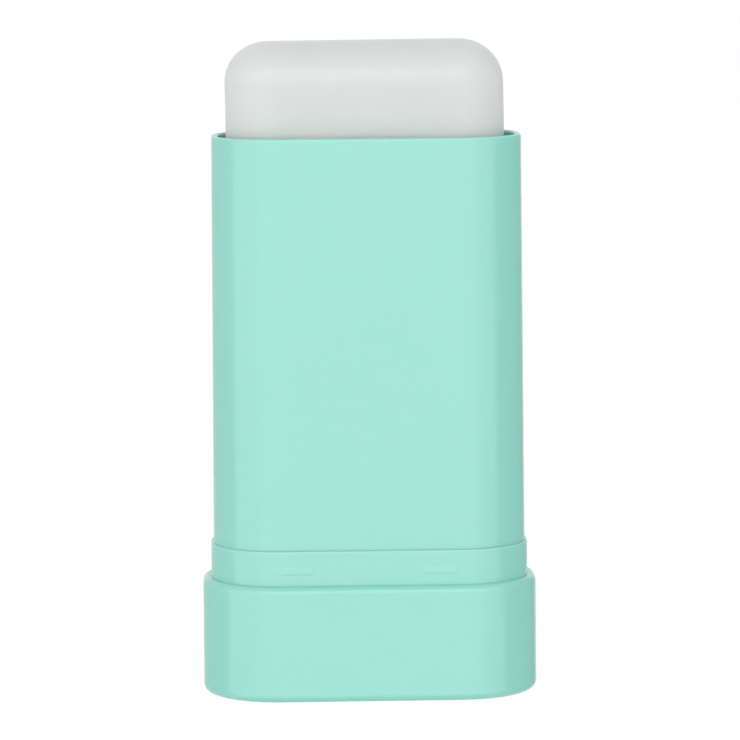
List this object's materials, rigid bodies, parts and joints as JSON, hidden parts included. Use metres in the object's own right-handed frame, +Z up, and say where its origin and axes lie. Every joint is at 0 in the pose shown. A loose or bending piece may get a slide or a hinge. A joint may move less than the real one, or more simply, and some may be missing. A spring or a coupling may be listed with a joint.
{
  "type": "hair wax stick",
  "caption": "Oval twist-up stick of hair wax: drafted barrel in a wide base, with a hand wheel underneath that winds the wax up and down.",
  "frame": {"origin": "on the table under the middle of the base", "axes": "+Z up along the screw, -Y toward the front that the picture shows, +X to the right seen from the front"},
  "size_m": [0.06, 0.032, 0.1176],
  "materials": {
    "mint_plastic": "satin moulded polypropylene, mint green",
    "natural_plastic": "natural polypropylene, slightly milky",
    "wax": "translucent milky wax with a soft sheen"
  },
  "bodies": {
    "case": {"base_shell": "mint_plastic", "barrel": "mint_plastic"},
    "drive": {"hand_wheel": "mint_plastic", "lead_screw": "natural_plastic"},
    "lift": {"elevator": "natural_plastic", "wax_block": "wax"}
  },
  "joints": [
    {"name": "wax_lift", "type": "slide", "parent": "case", "child": "lift", "axis": [0, 0, 1], "range_m": [-0.0185, 0.0375]},
    {"name": "wheel_turn", "type": "hinge", "parent": "case", "child": "drive", "pos_m": [0, 0, 0.01], "axis": [0, 0, 1], "range_deg": [-1670, 3380]}
  ],
  "couplings": [
    {"joint": "wheel_turn", "follows": "wax_lift", "rad_per_m": 1570.8}
  ]
}
